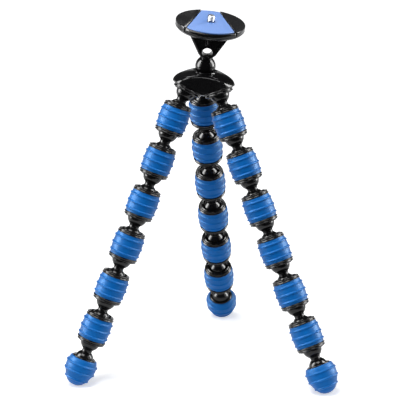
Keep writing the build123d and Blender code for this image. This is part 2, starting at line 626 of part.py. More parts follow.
def plate_base():
    """Round base with a tapered dovetail channel between two raised wings."""
    low, top = STEM_TOP, STEM_TOP + DISC_HEIGHT
    band = low + DISC_BAND
    path = Outline((0, low)).to((DISC_R - DISC_BEVEL, low), (DISC_R, band - DISC_GROOVE))
    path.to((DISC_R, band), (DISC_R - DISC_GROOVE, band + DISC_GROOVE / 2), (DISC_R, band + DISC_GROOVE))
    path.to((DISC_R, top - WING_ROUND))
    path.round_to((DISC_R - WING_ROUND, top), WING_ROUND, (DISC_R, top)).to((0, top))
    base = path.turned()
    floor = low + DISC_FLOOR
    base -= key_prism(PLATE_MARGIN + SLIDE_GAP, DISC_R + PAST, floor, top + SLIVER)
    for side in (-1, 1):
        corner_y = -sqrt((DISC_R - NOTCH_INSET) ** 2 - key_half_width(-DISC_R * 0.75) ** 2)
        corner_x = key_half_width(corner_y) + PLATE_MARGIN + NOTCH_R / 2
        notch = Cylinder(NOTCH_R, DISC_HEIGHT, align=ABOVE)
        base -= Pos(side * corner_x, corner_y, floor) * notch
        hole = Outline((0, floor + PAST)).to((FIXING_HEAD_R + PLATE_FIT, floor + PAST))
        hole_r = FIXING_R + PLATE_FIT
        hole.to((FIXING_HEAD_R + PLATE_FIT, floor), (hole_r, floor - FIXING_HEAD_R + FIXING_R))
        hole.to((hole_r, low - PAST), (0, low - PAST))
        base -= Pos(side * FIXING_SPACING / 2, 0, 0) * hole.turned()
    return base - lock_nose(LOCK_GAP, low - PAST, floor + PAST)


def stem_screws():
    """Two flat-headed screws down through the plate base into the stem."""
    floor = STEM_TOP + DISC_FLOOR
    top, low = floor - FIXING_SUNK, STEM_TOP - FIXING_LENGTH + FIXING_END_GAP
    shank_r = FIXING_R - FIXING_PLAY
    path = Outline((0, top)).to((FIXING_HEAD_R, top))
    path.to((shank_r, top - FIXING_HEAD_R + shank_r), (shank_r, low), (0, low))
    cross = Box(CROSS_WIDTH, CROSS_LENGTH, 2 * CROSS_DEPTH)
    screw = path.turned() - Pos(0, 0, floor) * (cross + Rot(0, 0, 90) * cross)
    return [Pos(side * FIXING_SPACING / 2, 0, 0) * screw for side in (-1, 1)]


def plate_low():
    return STEM_TOP + DISC_FLOOR + SLIDE_GAP / 2


def quick_release_plate():
    low = plate_low()
    top = low + PLATE_THICKNESS
    rise = DISC_HEIGHT - DISC_FLOOR - PLATE_THICKNESS
    margin = PLATE_MARGIN + rise * tan(radians(DOVETAIL_ANGLE))
    plate = key_prism(margin, DISC_R - PLATE_SETBACK, low, top)
    plate -= Pos(0, 0, low) * Cylinder(SCREW_HEAD_R + SCREW_POCKET_GAP, SCREW_POCKET_DEPTH * 2)
    plate -= Pos(0, 0, low) * Cylinder(SCREW_SHANK_R + RUNNING_GAP * 2, PLATE_THICKNESS * 3)
    return plate - lock_nose(LOCK_GAP, low - PAST, STEM_TOP + DISC_FLOOR + LOCK_TRAVEL + LOCK_GAP)


def plate_pad():
    """Rubber pad: the fan's outline with rounded corners, set back from the plate's edge."""
    face = key_fan(0) & Circle(PAD_ARC_R)
    face = fillet(face.vertices(), PAD_CORNER)
    low = plate_low() + PLATE_THICKNESS
    pad = Pos(0, 0, low) * extrude(face, PAD_THICKNESS)
    pad = chamfer(pad.faces().sort_by(Axis.Z)[-1].edges(), PAD_THICKNESS / 4)
    return pad - Pos(0, 0, low) * Cylinder(CAMERA_SCREW_R + PAD_HOLE_GAP, PAD_THICKNESS * 4)


def camera_screw():
    """Quarter-inch screw with a coin slot in its head, which turns in the plate."""
    low = plate_low() + SCREW_HEAD_GAP
    pad_top = plate_low() + PLATE_THICKNESS + PAD_THICKNESS
    neck_top = pad_top + SCREW_NECK_RISE
    top = pad_top + CAMERA_SCREW_HEIGHT
    path = Outline((0, low)).to((SCREW_HEAD_R, low), (SCREW_HEAD_R, low + SCREW_HEAD_HEIGHT))
    path.to((SCREW_SHANK_R, low + SCREW_HEAD_HEIGHT), (SCREW_SHANK_R, neck_top))
    path.to((CAMERA_SCREW_R, neck_top), (CAMERA_SCREW_R, top - SCREW_CHAMFER))
    path.to((CAMERA_SCREW_R - SCREW_CHAMFER, top))
    screw = path.to((0, top)).turned()
    slot = Box(SCREW_HEAD_R * 2 + PAST, SCREW_COIN_SLOT, 2 * SCREW_SLOT_DEPTH)
    return screw - Pos(0, 0, low) * slot


def leg_frames(name, first_ball):
    """Frames down one leg, one on each ball: Z points back up the piece that hangs from it."""
    azimuth = LEG_AZIMUTH[name] + HUB_YAW + LEG_SWING_ANGLE[name]
    at, frames = first_ball, []
    for lean in leg_leans(name, lean_for_height(name, first_ball.Z)):
        up = Vector(*polar(-sin(radians(lean)), azimuth, cos(radians(lean))))
        tangent = Vector(*polar(1, azimuth + 90))
        frames.append(Plane(origin=at, x_dir=tangent, z_dir=up))
        at = at - up * PITCH
        azimuth += LEG_SWEEP_ANGLE[name]
    return frames


def point_in(place, point):
    return (place * Pos(*point)).position


hub_place = Pos(0, 0, HUB_HEIGHT) * Rot(0, HUB_LEAN, 0) * Rot(0, 0, HUB_YAW)
ball_centre = point_in(hub_place, (0, 0, HEAD_BALL_HEIGHT))
head_place = Pos(*ball_centre) * Rot(HEAD_NOD, 0, 0) * Rot(0, HEAD_LEAN, 0)
seat_place = hub_place * Pos(0, 0, HEAD_BALL_HEIGHT)

nodes = {"hub_body": hub_place * hub_body(), "hub_base_plate": hub_place * hub_base_plate()}
nodes["hub_screws"] = [hub_place * countersunk(azimuth, 0) for azimuth in LEG_AZIMUTH.values()]
nodes["ball_seat"] = seat_place * ball_seat()
for name, piece in {
    "head_stem": head_stem(),
    "tension_screw": tension_screw(),
    "pressure_cup": pressure_cup(),
    "disc_spring": disc_spring(),
    "plate_base": plate_base(),
    "quick_release_plate": quick_release_plate(),
    "plate_pad": plate_pad(),
    "camera_screw": camera_screw(),
    "plate_lock": plate_lock(),
}.items():
    nodes[name] = head_place * piece
nodes["stem_screws"] = [head_place * screw for screw in stem_screws()]

pieces = {"stud": leg_stud(), "core": segment_core(), "sleeve": sleeve()}
pieces.update(foot_core=foot_core(), foot_cap=foot_cap())
legs = {}
for name in LEG_NAMES:
    azimuth = LEG_AZIMUTH[name]
    nodes[f"{name}_leg_stud"] = hub_place * stud_plane(azimuth) * pieces["stud"]
    first = point_in(hub_place, polar(STUD_SPREAD, azimuth))
    legs[name] = leg_frames(name, first)
    for index, frame in enumerate(legs[name][:-1], start=1):
        nodes[f"{name}_leg_core_{index}"] = frame.location * pieces["core"]
        nodes[f"{name}_leg_sleeve_{index}"] = frame.location * pieces["sleeve"]
    foot = legs[name][-1].location
    nodes[f"{name}_foot_core"] = foot * pieces["foot_core"]
    nodes[f"{name}_foot_cap"] = foot * pieces["foot_cap"]

box = Compound([s for node in nodes.values() for s in (node if isinstance(node, list) else [node])])
box = box.bounding_box()
shift = Vector(-(box.min.X + box.max.X) / 2, -(box.min.Y + box.max.Y) / 2, 0)

os.makedirs("parts", exist_ok=True)
for name, piece in nodes.items():
    solids = [s for item in (piece if isinstance(piece, list) else [piece]) for s in item.solids()]
    shape = Compound(solids) if len(solids) > 1 else solids[0]
    export_step(Pos(*shift) * shape, f"parts/{name}.step")

print("nodes", len(nodes), "box", box.min + shift, box.max + shift)
print("pitch", round(PITCH, 3), "leans", {n: round(lean_for_height(n, HUB_HEIGHT), 2) for n in LEG_NAMES})
head_axis, hub_axis = Plane(head_place).z_dir, Plane(hub_place).z_dir
print("head leans", round(head_axis.get_angle(hub_axis), 2), "degrees from the hub, of", HEAD_TILT_LIMIT)
for name, place in (("hub", hub_place), ("head", head_place), ("seat", seat_place)):
    plane = Plane(place)
    at = plane.origin + shift
    print("frame", name, *(round(v, 4) for v in (*at, *plane.x_dir, *plane.y_dir, *plane.z_dir)))
for name, frames in legs.items():
    for index, frame in enumerate(frames, start=1):
        at = frame.origin + shift
        directions = (*frame.x_dir, *frame.y_dir, *frame.z_dir)
        print("frame", f"{name}_{index}", *(round(v, 4) for v in (*at, *directions)))
reach = acos(LIP_RISE / SOCKET_R) - asin(NECK_R / BALL_R)
print("neck meets lip at", round(degrees(reach), 1), "degrees, against a bend limit of", BEND_LIMIT)
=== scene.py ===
import json
from math import asin, atan2, ceil, cos, degrees, floor, pi, radians, sin, sqrt, tan

import bmesh
import bpy
import numpy as np
from mathutils import Matrix, Vector


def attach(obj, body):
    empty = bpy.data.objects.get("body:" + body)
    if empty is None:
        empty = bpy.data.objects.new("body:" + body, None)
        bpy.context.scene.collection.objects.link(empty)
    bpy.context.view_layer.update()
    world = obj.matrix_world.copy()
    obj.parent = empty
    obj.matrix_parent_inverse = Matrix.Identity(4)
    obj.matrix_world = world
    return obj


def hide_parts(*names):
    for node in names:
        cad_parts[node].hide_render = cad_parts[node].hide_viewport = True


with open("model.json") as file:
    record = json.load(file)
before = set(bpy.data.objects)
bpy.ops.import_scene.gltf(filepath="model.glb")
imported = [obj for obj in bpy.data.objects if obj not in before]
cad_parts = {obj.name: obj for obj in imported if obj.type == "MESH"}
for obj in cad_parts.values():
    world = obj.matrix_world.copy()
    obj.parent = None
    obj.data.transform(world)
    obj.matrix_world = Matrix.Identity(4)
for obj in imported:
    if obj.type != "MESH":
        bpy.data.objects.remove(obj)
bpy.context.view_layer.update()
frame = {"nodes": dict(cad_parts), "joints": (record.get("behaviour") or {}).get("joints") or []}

mm = 0.001
joints = {joint["name"]: joint for joint in frame["joints"]}
legNames = ("left", "right", "back")
studio = bpy.context.scene


# Places, read from the frame

def jointPoint(name):
    return Vector(joints[name]["pos_m"])


def placeFrom(origin, zDir, xDir):
    zDir = zDir.normalized()
    yDir = zDir.cross(xDir).normalized()
    xDir = yDir.cross(zDir)
    turn = Matrix((xDir, yDir, zDir)).transposed().to_4x4()
    return Matrix.Translation(origin) @ turn


def legPlaces(leg):
    # one place on each ball of a leg, with Z back up the piece that hangs from it
    names = [f"{leg}_hip"] + [f"{leg}_joint_{k}" for k in range(2, 7)] + [f"{leg}_ankle"]
    points = [jointPoint(name) for name in names]
    across = -Vector(joints[f"{leg}_hip"]["axis"])
    ups = [(points[k] - points[k + 1]).normalized() for k in range(6)]
    ups.append(ups[4].rotation_difference(ups[5]) @ ups[5])  # the foot leans on by the same step
    return [placeFrom(point, up, across) for point, up in zip(points, ups)]


hips = {leg: jointPoint(f"{leg}_hip") for leg in legNames}
hubCentre = sum(hips.values(), Vector()) / 3
hubUp = Vector(joints["head_pan"]["axis"])
hubPlace = placeFrom(hubCentre, hubUp, (hips["back"] - hubCentre).cross(hubUp))
headUp = Vector(joints["camera_screw_spin"]["axis"])
headBack = -Vector(joints["plate_slide"]["axis"])
headPlace = placeFrom(jointPoint("head_tilt"), headUp, headBack.cross(headUp))
places = {leg: legPlaces(leg) for leg in legNames}
print("stage: places read for", len(places), "legs")


# Camera, lamps and floor

view = {"distance": 1.8, "elevation": 17.0, "lens": 182.9, "right": -1.8, "below": 84.6,
        "clipEnd": 20}


def addCamera():
    data = bpy.data.cameras.new("camera")
    data.lens = view["lens"]
    data.clip_end = view["clipEnd"]
    camera = bpy.data.objects.new("camera", data)
    studio.collection.objects.link(camera)
    aim = hubCentre + Vector((view["right"] * mm, 0, -view["below"] * mm))
    tilt = radians(view["elevation"])
    camera.location = aim + view["distance"] * Vector((0, -cos(tilt), sin(tilt)))
    camera.rotation_euler = (pi / 2 - tilt, 0, 0)
    studio.camera = camera


lampSets = {
    "keyTop": {"at": (-0.25, -0.42, 1.5), "size": (0.9, 0.7), "watts": 20, "gloss": False},
    "fillLeft": {"at": (-1.2, -0.5, 0.6), "size": (0.5, 0.9), "watts": 6, "gloss": False},
    "fillRight": {"at": (1.2, -0.5, 0.6), "size": (0.5, 0.9), "watts": 4, "gloss": False},
    "stripLeft": {"at": (-1.0, -0.05, 0.6), "size": (0.55, 1.15), "watts": 42, "gloss": True},
    "stripRight": {"at": (1.0, 0.12, 0.6), "size": (0.5, 1.15), "watts": 38, "gloss": True},
    "panelBack": {"at": (0.0, 0.8, 1.4), "size": (0.6, 0.35), "watts": 7, "gloss": True},
}
lampAim = 0.6  # share of the hub's height
studioLight = {"fill": 0.24, "fillColour": (0.95, 0.97, 1.0), "backdrop": 0.9, "room": 0.05,
               "behind": (-0.2, 0.3), "low": (0.17, 0.27)}


def addLamp(name, spec):
    data = bpy.data.lights.new(name, "AREA")
    data.shape = "RECTANGLE"
    data.size, data.size_y = spec["size"]
    data.energy = spec["watts"]
    lamp = bpy.data.objects.new(name, data)
    studio.collection.objects.link(lamp)
    lamp.location = spec["at"]
    target = hubCentre * lampAim
    lamp.rotation_euler = (target - lamp.location).to_track_quat("-Z", "Y").to_euler()
    lamp.visible_camera = False
    if spec["gloss"]:
        lamp.visible_diffuse = False  # a soft box that only the shine shows


def calc(tree, operation, *values):
    # one Math node, fed by sockets and plain numbers
    node = tree.nodes.new("ShaderNodeMath")
    node.operation = operation
    for index, value in enumerate(values):
        if isinstance(value, (int, float)):
            node.inputs[index].default_value = value
        else:
            tree.links.new(value, node.inputs[index])
    return node.outputs[0]


rayKinds = ("Camera", "Glossy", "Transmission")


def addWorld():
    world = bpy.data.worlds.new("studio")
    world.use_nodes = True
    studio.world = world
    tree = world.node_tree
    nodes, links = tree.nodes, tree.links
    nodes.clear()
    path = nodes.new("ShaderNodeLightPath")
    fill, shine, seen = [nodes.new("ShaderNodeBackground") for _ in range(3)]
    fill.inputs["Color"].default_value = (*studioLight["fillColour"], 1)
    fill.inputs["Strength"].default_value = studioLight["fill"]
    seen.inputs["Color"].default_value = (1, 1, 1, 1)
    # shiny surfaces mirror a white backdrop low down behind the tripod, and the dim room round it
    where = nodes.new("ShaderNodeTexCoord")
    split = nodes.new("ShaderNodeSeparateXYZ")
    links.new(where.outputs["Generated"], split.inputs[0])
    bands = []
    for axis, label in ((1, "behind"), (2, "low")):
        band = nodes.new("ShaderNodeMapRange")
        band.interpolation_type = "SMOOTHSTEP"
        for end, value in zip(("From Min", "From Max"), studioLight[label]):
            band.inputs[end].default_value = value
        links.new(split.outputs[axis], band.inputs["Value"])
        bands.append(band.outputs["Result"])
    lit = calc(tree, "MULTIPLY", bands[0], calc(tree, "SUBTRACT", 1.0, bands[1]))
    lit = calc(tree, "MULTIPLY", lit, studioLight["backdrop"] - studioLight["room"])
    links.new(calc(tree, "ADD", lit, studioLight["room"]), shine.inputs["Strength"])
    glossy, camera = nodes.new("ShaderNodeMixShader"), nodes.new("ShaderNodeMixShader")
    out = nodes.new("ShaderNodeOutputWorld")
    byCamera, mirrored, through = [path.outputs[f"Is {kind} Ray"] for kind in rayKinds]
    straight = calc(tree, "MAXIMUM", byCamera, through)
    for mix, test, one, two in ((glossy, mirrored, fill, shine), (camera, straight, glossy, seen)):
        links.new(test, mix.inputs[0])
        links.new(one.outputs[0], mix.inputs[1])
        links.new(two.outputs[0], mix.inputs[2])
    links.new(camera.outputs[0], out.inputs[0])


# the paper ends in front of the feet, so that black fronts mirror the dim room
paper = {"half": 6.0, "front": -0.34, "grey": 0.9, "roughness": 0.9, "specular": 0.1,
         "near": (0.3, 0.52), "far": (2.0, 0.9)}


def addFloor():
    mesh = bpy.data.meshes.new("floor")
    half, front = paper["half"], paper["front"]
    corners = [(-half, front, 0), (half, front, 0), (half, half, 0), (-half, half, 0)]
    mesh.from_pydata(corners, [], [(0, 1, 2, 3)])
    floor = bpy.data.objects.new("floor", mesh)
    studio.collection.objects.link(floor)
    mesh.materials.append(paperMaterial())


def paperMaterial():
    # a glow, seen straight, mirrored or through glass, lifts the paper to white and leaves its
    # shadow; near and far are (distance from the middle, glow)
    material = bpy.data.materials.new("paper")
    material.use_nodes = True
    tree = material.node_tree
    shader = tree.nodes["Principled BSDF"]
    shader.inputs["Base Color"].default_value = (*[paper["grey"]] * 3, 1)
    shader.inputs["Roughness"].default_value = paper["roughness"]
    shader.inputs["Specular IOR Level"].default_value = paper["specular"]
    path = tree.nodes.new("ShaderNodeLightPath")
    tests = [path.outputs[f"Is {kind} Ray"] for kind in rayKinds]
    shown = calc(tree, "MAXIMUM", calc(tree, "MAXIMUM", tests[0], tests[1]), tests[2])
    where = tree.nodes.new("ShaderNodeTexCoord")
    away = tree.nodes.new("ShaderNodeVectorMath")
    away.operation = "LENGTH"
    tree.links.new(where.outputs["Object"], away.inputs[0])
    glow = tree.nodes.new("ShaderNodeMapRange")
    for end, (distance, strength) in (("Min", paper["near"]), ("Max", paper["far"])):
        glow.inputs[f"From {end}"].default_value = distance
        glow.inputs[f"To {end}"].default_value = strength
    tree.links.new(away.outputs["Value"], glow.inputs["Value"])
    lift = calc(tree, "MULTIPLY", shown, glow.outputs["Result"])
    tree.links.new(lift, shader.inputs["Emission Color"])
    shader.inputs["Emission Strength"].default_value = 1.0
    return material


studio.view_settings.view_transform = "Standard"
addCamera()
addWorld()
addFloor()
for lampName, lampSpec in lampSets.items():
    addLamp(lampName, lampSpec)
print("stage: camera, lamps and floor")


# Shader groups that several finishes share

bumpDepth = {"grain": 0.0002, "wave": 0.002, "seam": 0.0001}
noiseDetail = {"grain": 2.0, "wave": 1.0}


def newGroup(name, kind, inputs, outputs):
    group = bpy.data.node_groups.new(name, kind)
    for label, socketType, value in inputs:
        socket = group.interface.new_socket(label, in_out="INPUT", socket_type=socketType)
        if value is not None:
            socket.default_value = value
    for label, socketType in outputs:
        group.interface.new_socket(label, in_out="OUTPUT", socket_type=socketType)
    return group, group.nodes.new("NodeGroupInput"), group.nodes.new("NodeGroupOutput")


def mouldedSkin():
    # fine grain and slow waviness of a moulded surface: roughness and normal
    number, vector = "NodeSocketFloat", "NodeSocketVector"
    group, start, end = newGroup(
        "mouldedSkin",
        "ShaderNodeTree",
        [("Grain Scale", number, 900.0), ("Grain Depth", number, 0.02),
         ("Wave Scale", number, 60.0), ("Wave Depth", number, 0.03),
         ("Roughness", number, 0.2), ("Spread", number, 0.06)],
        [("Roughness", number), ("Normal", vector), ("Patch", number)],
    )
    nodes, links = group.nodes, group.links
    where = nodes.new("ShaderNodeTexCoord")
    grain = nodes.new("ShaderNodeTexNoise")
    grain.inputs["Detail"].default_value = noiseDetail["grain"]
    wave = nodes.new("ShaderNodeTexNoise")
    wave.inputs["Detail"].default_value = noiseDetail["wave"]
    for texture, label in ((grain, "Grain Scale"), (wave, "Wave Scale")):
        links.new(where.outputs["Object"], texture.inputs["Vector"])
        links.new(start.outputs[label], texture.inputs["Scale"])
    centred = calc(group, "SUBTRACT", wave.outputs[0], 0.5)
    swing = calc(group, "MULTIPLY", centred, start.outputs["Spread"])
    rough = calc(group, "ADD", start.outputs["Roughness"], calc(group, "MULTIPLY", swing, 2.0))
    fineBump = nodes.new("ShaderNodeBump")
    fineBump.inputs["Distance"].default_value = bumpDepth["grain"]
    wideBump = nodes.new("ShaderNodeBump")
    wideBump.inputs["Distance"].default_value = bumpDepth["wave"]
    links.new(wave.outputs[0], wideBump.inputs["Height"])
    links.new(start.outputs["Wave Depth"], wideBump.inputs["Strength"])
    links.new(grain.outputs[0], fineBump.inputs["Height"])
    links.new(start.outputs["Grain Depth"], fineBump.inputs["Strength"])
    links.new(wideBump.outputs[0], fineBump.inputs["Normal"])
    links.new(rough, end.inputs["Roughness"])
    links.new(fineBump.outputs[0], end.inputs["Normal"])
    links.new(wave.outputs[0], end.inputs["Patch"])
    return group


def partingLine():
    # thin raised line where the two halves of a mould met, on the piece's own UV map
    number = "NodeSocketFloat"
    group, start, end = newGroup(
        "partingLine",
        "ShaderNodeTree",
        [("Place", number, 0.25), ("Width", number, 0.004)],
        [("Line", number)],
    )
    uv = group.nodes.new("ShaderNodeUVMap")
    uv.uv_map = "UVMap"
    split = group.nodes.new("ShaderNodeSeparateXYZ")
    group.links.new(uv.outputs[0], split.inputs[0])
    # two lines, half a turn apart
    half = calc(group, "MODULO", calc(group, "ADD", split.outputs[0], 0.5), 0.5)
    away = calc(group, "ABSOLUTE", calc(group, "SUBTRACT", half, start.outputs["Place"]))
    near = calc(group, "SUBTRACT", 1.0, calc(group, "DIVIDE", away, start.outputs["Width"]))
    group.links.new(calc(group, "MAXIMUM", near, 0.0), end.inputs["Line"])
    return group


skinGroup = mouldedSkin()
seamGroup = partingLine()

# grain and wave are (scale, depth); seam is how far the parting line stands out
finishes = {
    "blackPlastic": {
        "dark": (0.0035, 0.0035, 0.004), "light": (0.007, 0.007, 0.0075), "specular": 0.25,
        "roughness": 0.13, "spread": 0.05, "grain": (1500, 0.02), "wave": (70, 0.03)},
    "chainBlack": {
        "dark": (0.0035, 0.0035, 0.004), "light": (0.008, 0.008, 0.0085), "specular": 0.25,
        "roughness": 0.14, "spread": 0.06, "grain": (1500, 0.03), "wave": (90, 0.03),
        "seam": 0.12},
    "wingBlack": {
        "dark": (0.008, 0.008, 0.009), "light": (0.016, 0.016, 0.017), "specular": 0.25,
        "roughness": 0.18, "spread": 0.08, "grain": (2600, 0.10), "wave": (60, 0.02)},
    "sleeveBlue": {
        "dark": (0.0, 0.092, 0.35), "light": (0.001, 0.118, 0.42), "specular": 0.3,
        "roughness": 0.43, "spread": 0.10, "grain": (1900, 0.10), "wave": (45, 0.05), "seam": 0.30,
        "tint": (0.36, 0.72, 1.0)},
    "padBlue": {
        "dark": (0.095, 0.21, 0.53), "light": (0.12, 0.245, 0.59), "specular": 0.4,
        "roughness": 0.55, "spread": 0.08, "grain": (2600, 0.16), "wave": (50, 0.03)},
    "zincSteel": {
        "dark": (0.34, 0.35, 0.37), "light": (0.46, 0.47, 0.49), "metal": 1.0,
        "roughness": 0.28, "spread": 0.10, "grain": (2200, 0.12), "wave": (200, 0.02)},
    "seatGrey": {
        "dark": (0.04, 0.04, 0.045), "light": (0.07, 0.07, 0.075), "specular": 0.4,
        "roughness": 0.45, "spread": 0.08, "grain": (1800, 0.10), "wave": (80, 0.03)},
}


def makeFinish(name, spec):
    material = bpy.data.materials.new(name)
    material.use_nodes = True
    tree = material.node_tree
    shader = tree.nodes["Principled BSDF"]
    skin = tree.nodes.new("ShaderNodeGroup")
    skin.node_tree = skinGroup
    for label in ("Grain", "Wave"):
        scale, depth = spec[label.lower()]
        skin.inputs[f"{label} Scale"].default_value = scale
        skin.inputs[f"{label} Depth"].default_value = depth
    for label in ("Roughness", "Spread"):
        skin.inputs[label].default_value = spec[label.lower()]
    tint = tree.nodes.new("ShaderNodeMix")
    tint.data_type = "RGBA"
    tint.inputs["A"].default_value = (*spec["dark"], 1)
    tint.inputs["B"].default_value = (*spec["light"], 1)
    tree.links.new(skin.outputs["Patch"], tint.inputs["Factor"])
    tree.links.new(tint.outputs["Result"], shader.inputs["Base Color"])
    tree.links.new(skin.outputs["Roughness"], shader.inputs["Roughness"])
    normal = skin.outputs["Normal"]
    if "seam" in spec:
        seam = tree.nodes.new("ShaderNodeGroup")
        seam.node_tree = seamGroup
        raised = tree.nodes.new("ShaderNodeBump")
        raised.inputs["Distance"].default_value = bumpDepth["seam"]
        raised.inputs["Strength"].default_value = spec["seam"]
        tree.links.new(seam.outputs["Line"], raised.inputs["Height"])
        tree.links.new(normal, raised.inputs["Normal"])
        normal = raised.outputs[0]
    tree.links.new(normal, shader.inputs["Normal"])
    shader.inputs["Metallic"].default_value = spec.get("metal", 0.0)
    shader.inputs["Specular IOR Level"].default_value = spec.get("specular", 0.5)
    shader.inputs["Specular Tint"].default_value = (*spec.get("tint", (1, 1, 1)), 1)
    return material


materials = {name: makeFinish(name, spec) for name, spec in finishes.items()}
print("stage: finishes", ", ".join(materials))


# Mesh helpers

# a rounding takes at most this share of the runs beside it; onAxis is in millimetres
turning = {"stepDegrees": 15, "support": 0.12, "share": 0.48, "segments": 96, "onAxis": 1e-4}


def asObject(name, mesh):
    piece = bpy.data.objects.new(name, mesh)
    studio.collection.objects.link(piece)
    return piece


def finishPiece(piece, finish, body, *nodes):
    # the piece stands for its CAD nodes, with its place already in its mesh
    piece.data.materials.clear()
    piece.data.materials.append(materials[finish])
    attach(piece, body)
    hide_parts(*nodes)


def roundedPath(corners):
    # corners are (radius, height) or (radius, height, rounding), in millimetres; a short run of
    # support beside each rounding keeps the flats flat
    path, support, share = [], turning["support"], turning["share"]
    for index, corner in enumerate(corners):
        point = Vector(corner[:2])
        rounding = corner[2] if len(corner) > 2 else 0
        if not rounding or index in (0, len(corners) - 1):
            path.append(point)
            continue
        back = Vector(corners[index - 1][:2]) - point
        ahead = Vector(corners[index + 1][:2]) - point
        opening = back.angle(ahead)
        cut = min(rounding / tan(opening / 2), share * back.length, share * ahead.length)
        rounding = cut * tan(opening / 2)
        back.normalize()
        ahead.normalize()
        centre = point + (back + ahead).normalized() * rounding / sin(opening / 2)
        first, last = point + back * cut, point + ahead * cut
        steps = max(2, ceil(degrees(pi - opening) / turning["stepDegrees"]))
        path.append(first + back * support)
        for step in range(steps + 1):
            spoke = (first - centre).slerp(last - centre, step / steps, first - centre)
            path.append(centre + spoke)
        path.append(last + ahead * support)
    return [tuple(point) for point in path]


def arcPoints(radius, centreHeight, fromDegrees, toDegrees, stepDegrees=5):
    steps = max(2, ceil(abs(toDegrees - fromDegrees) / stepDegrees))
    sweep = toDegrees - fromDegrees
    turns = [radians(fromDegrees + sweep * step / steps) for step in range(steps + 1)]
    return [(radius * cos(turn), centreHeight + radius * sin(turn)) for turn in turns]


def latheMesh(name, path, segments=turning["segments"], closed=False):
    # turns a path in millimetres about Z; a point on the axis becomes one pole vertex
    rings, points = [], []
    for radius, height in path:
        if radius < turning["onAxis"]:
            rings.append([len(points)] * segments)
            points.append((0, 0, height * mm))
            continue
        rings.append(list(range(len(points), len(points) + segments)))
        for turn in range(segments):
            angle = 2 * pi * turn / segments
            points.append((radius * cos(angle) * mm, radius * sin(angle) * mm, height * mm))
    faces, along = [], [0.0]
    for one, two in zip(path, path[1:] + path[:1]):
        along.append(along[-1] + Vector((two[0] - one[0], two[1] - one[1])).length)
    uvs = []
    pairs = list(range(len(rings) - 1)) + ([len(rings) - 1] if closed else [])
    for index in pairs:
        upper, lower = rings[index], rings[(index + 1) % len(rings)]
        for turn in range(segments):
            after = (turn + 1) % segments
            corners = [(upper[turn], turn, index), (lower[turn], turn, index + 1),
                       (lower[after], turn + 1, index + 1), (upper[after], turn + 1, index)]
            kept = [one for place, one in enumerate(corners) if one[0] != corners[place - 1][0]]
            faces.append([corner[0] for corner in kept])
            uvs += [(corner[1] / segments, along[corner[2]] / along[-1]) for corner in kept]
    mesh = bpy.data.meshes.new(name)
    mesh.from_pydata(points, [], faces)
    layer = mesh.uv_layers.new(name="UVMap")
    layer.data.foreach_set("uv", [value for pair in uvs for value in pair])
    facing = bmesh.new()
    facing.from_mesh(mesh)
    bmesh.ops.recalc_face_normals(facing, faces=facing.faces)
    facing.to_mesh(mesh)
    facing.free()
    mesh.shade_smooth()
    return mesh


def placed(name, mesh, place):
    copy = mesh.copy()
    copy.name = name
    copy.transform(place)
    return asObject(name, copy)


def applied(piece):
    # the piece's modifiers made into plain mesh
    depsgraph = bpy.context.evaluated_depsgraph_get()
    mesh = bpy.data.meshes.new_from_object(piece.evaluated_get(depsgraph))
    piece.modifiers.clear()
    piece.data = mesh
    return piece


def setInput(modifier, label, value):
    for item in modifier.node_group.interface.items_tree:
        if item.item_type == "SOCKET" and item.in_out == "INPUT" and item.name == label:
            modifier[item.identifier] = value
            return
    raise KeyError(label)


def throughTree(piece, tree, **inputs):
    modifier = piece.modifiers.new(tree.name, "NODES")
    modifier.node_group = tree
    for label, value in inputs.items():
        setInput(modifier, label, value)
    return applied(piece)


# Rubber ribs: rows of proud rings round a sleeve or foot, seeded so that each wanders its own way

ribNoise = {"scale": 90.0, "seedStep": 3.7, "level": 0.62}


